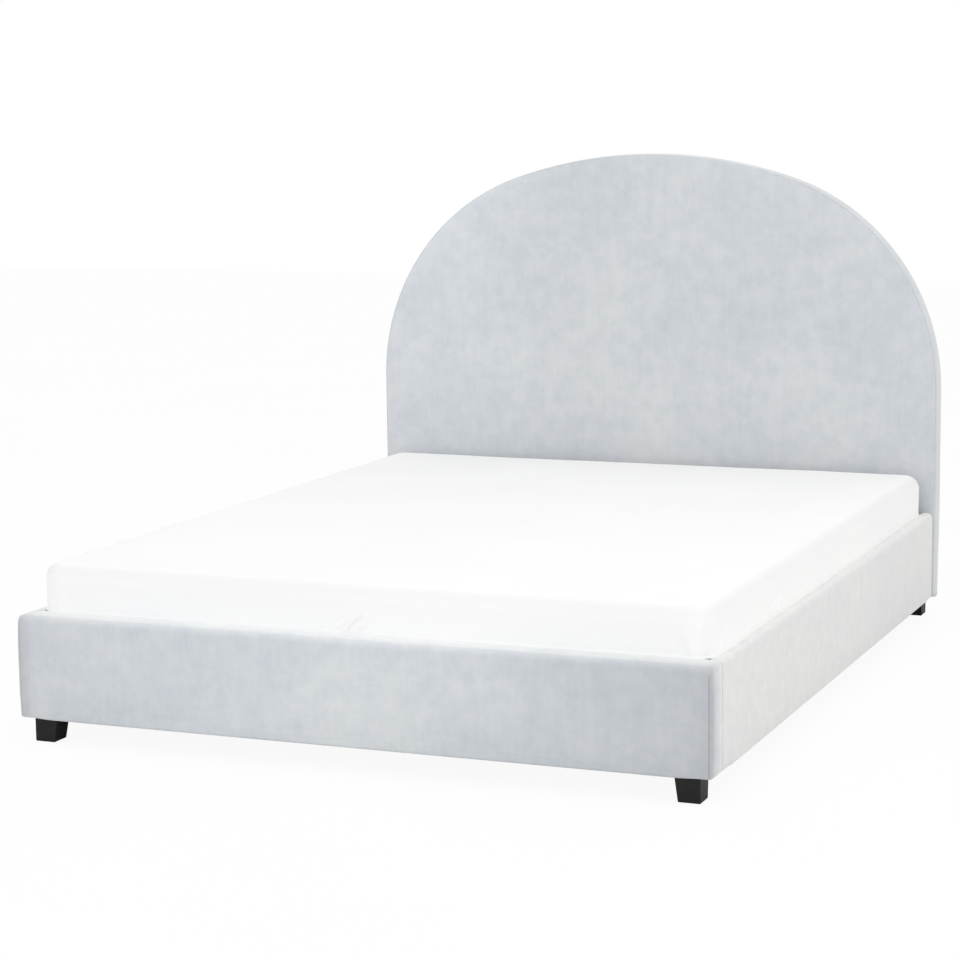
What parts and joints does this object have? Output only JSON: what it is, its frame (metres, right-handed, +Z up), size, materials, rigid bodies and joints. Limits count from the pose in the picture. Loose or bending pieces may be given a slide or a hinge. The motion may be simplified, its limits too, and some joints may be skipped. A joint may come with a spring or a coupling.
{
  "type": "double bed",
  "caption": "Upholstered double bed with a tall arched headboard, low padded rails, short tapered feet, a sprung slatted base and a mattress in a fitted sheet.",
  "frame": {"origin": "on the floor, at the centre of the bed's outline", "axes": "+Y from the foot end to the headboard, +Z up, +X to the right seen from the foot end"},
  "size_m": [1.676, 2.157, 1.297],
  "materials": {
    "upholstery": "soft short pile, pale grey-blue",
    "foam": "open foam, off-white",
    "board": "plain board",
    "timber": "sawn softwood",
    "back_cloth": "thin black non-woven cloth",
    "steel": "black powder coat, satin",
    "slat": "clear-coated laminated birch",
    "holder": "black moulded plastic",
    "foot": "black, satin",
    "screw": "zinc-plated steel",
    "pad": "black moulded plastic",
    "mattress": "white knitted cover",
    "sheet": "smooth white cotton"
  },
  "bodies": {
    "bedstead": {"headboard_cover": "upholstery", "footboard_cover": "upholstery", "side_rail_cover_left": "upholstery", "side_rail_cover_right": "upholstery", "headboard_foam": "foam", "footboard_foam": "foam", "side_rail_foam_left": "foam", "side_rail_foam_right": "foam", "headboard_mounting_board": "board", "headboard_face_panel": "board", "footboard_front_board": "board", "footboard_back_board": "board", "side_rail_board_left": "board", "side_rail_board_right": "board", "headboard_stile_left": "timber", "headboard_stile_right": "timber", "headboard_rim_left": "timber", "headboard_rim_right": "timber", "headboard_rim_crown": "timber", "headboard_bottom_rail": "timber", "headboard_middle_rail": "timber", "headboard_posts": "timber", "footboard_battens": "timber", "footboard_posts": "timber", "headboard_back_cloth": "back_cloth", "ledger_left": "steel", "ledger_right": "steel", "corner_brackets": "steel", "centre_beam": "steel", "beam_hangers": "steel", "centre_leg_front": "steel", "centre_leg_rear": "steel", "slat_row_01": "slat", "slat_row_02": "slat", "slat_row_03": "slat", "slat_row_04": "slat", "slat_row_05": "slat", "slat_row_06": "slat", "slat_row_07": "slat", "slat_row_08": "slat", "slat_row_09": "slat", "slat_row_10": "slat", "slat_row_11": "slat", "slat_row_12": "slat", "slat_row_13": "slat", "outer_slat_holders_left": "holder", "outer_slat_holders_right": "holder", "centre_slat_holders": "holder", "leg_plugs": "holder", "foot_front_left": "foot", "foot_front_right": "foot", "foot_rear_left": "foot", "foot_rear_right": "foot"},
    "bedding": {"mattress": "mattress", "fitted_sheet": "sheet"},
    "pad_front": {"levelling_pad_front": "pad"},
    "pad_rear": {"levelling_pad_rear": "pad"},
    "screw_front": {"levelling_screw_front": "screw"},
    "screw_rear": {"levelling_screw_rear": "screw"}
  },
  "joints": [
    {"name": "mattress_lift", "type": "slide", "parent": "bedstead", "child": "bedding", "axis": [0, 0, 1], "range_m": [0, 0.28]},
    {"name": "leg_front_level", "type": "slide", "parent": "bedstead", "child": "pad_front", "axis": [0, 0, -1], "range_m": [-0.00401, 0.01201]},
    {"name": "leg_front_screw", "type": "hinge", "parent": "pad_front", "child": "screw_front", "pos_m": [0, -0.4945, 0.0355], "axis": [0, 0, -1], "range_deg": [-960, 2880]},
    {"name": "leg_rear_level", "type": "slide", "parent": "bedstead", "child": "pad_rear", "axis": [0, 0, -1], "range_m": [-0.00401, 0.01201]},
    {"name": "leg_rear_screw", "type": "hinge", "parent": "pad_rear", "child": "screw_rear", "pos_m": [0, 0.5055, 0.0355], "axis": [0, 0, -1], "range_deg": [-960, 2880]}
  ],
  "couplings": [
    {"joint": "leg_front_level", "follows": "leg_front_screw", "m_per_rad": 0.00023873},
    {"joint": "leg_rear_level", "follows": "leg_rear_screw", "m_per_rad": 0.00023873}
  ]
}
